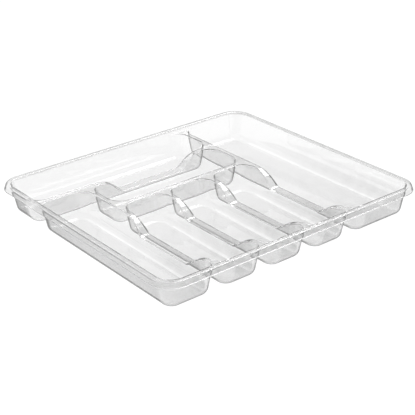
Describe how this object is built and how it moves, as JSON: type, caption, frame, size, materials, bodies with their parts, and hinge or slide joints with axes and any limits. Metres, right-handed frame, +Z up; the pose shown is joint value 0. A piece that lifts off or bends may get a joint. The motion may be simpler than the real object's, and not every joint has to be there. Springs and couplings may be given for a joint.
{
  "type": "cutlery tray",
  "caption": "Clear shallow tray with drafted round-cornered compartments between hollow dividers with scooped crests, for sorting cutlery in a drawer.",
  "frame": {"origin": "middle of the underside, below the middle of the rim's outline", "axes": "+X along the long side towards the wide full-depth compartment, +Y from the side with the fork and spoon compartments to the rear compartment, +Z up"},
  "size_m": [0.44, 0.394, 0.044],
  "materials": {
    "clear_plastic": "clear, polished by the mould"
  },
  "bodies": {
    "root": {"rim": "clear_plastic", "rear_tub": "clear_plastic", "middle_tub": "clear_plastic", "left_tub": "clear_plastic", "right_tub": "clear_plastic", "front_tub_1": "clear_plastic", "front_tub_2": "clear_plastic", "front_tub_3": "clear_plastic", "left_divider": "clear_plastic", "right_divider": "clear_plastic", "cross_divider": "clear_plastic", "rear_divider": "clear_plastic", "inner_divider_1": "clear_plastic", "inner_divider_2": "clear_plastic"}
  },
  "joints": []
}
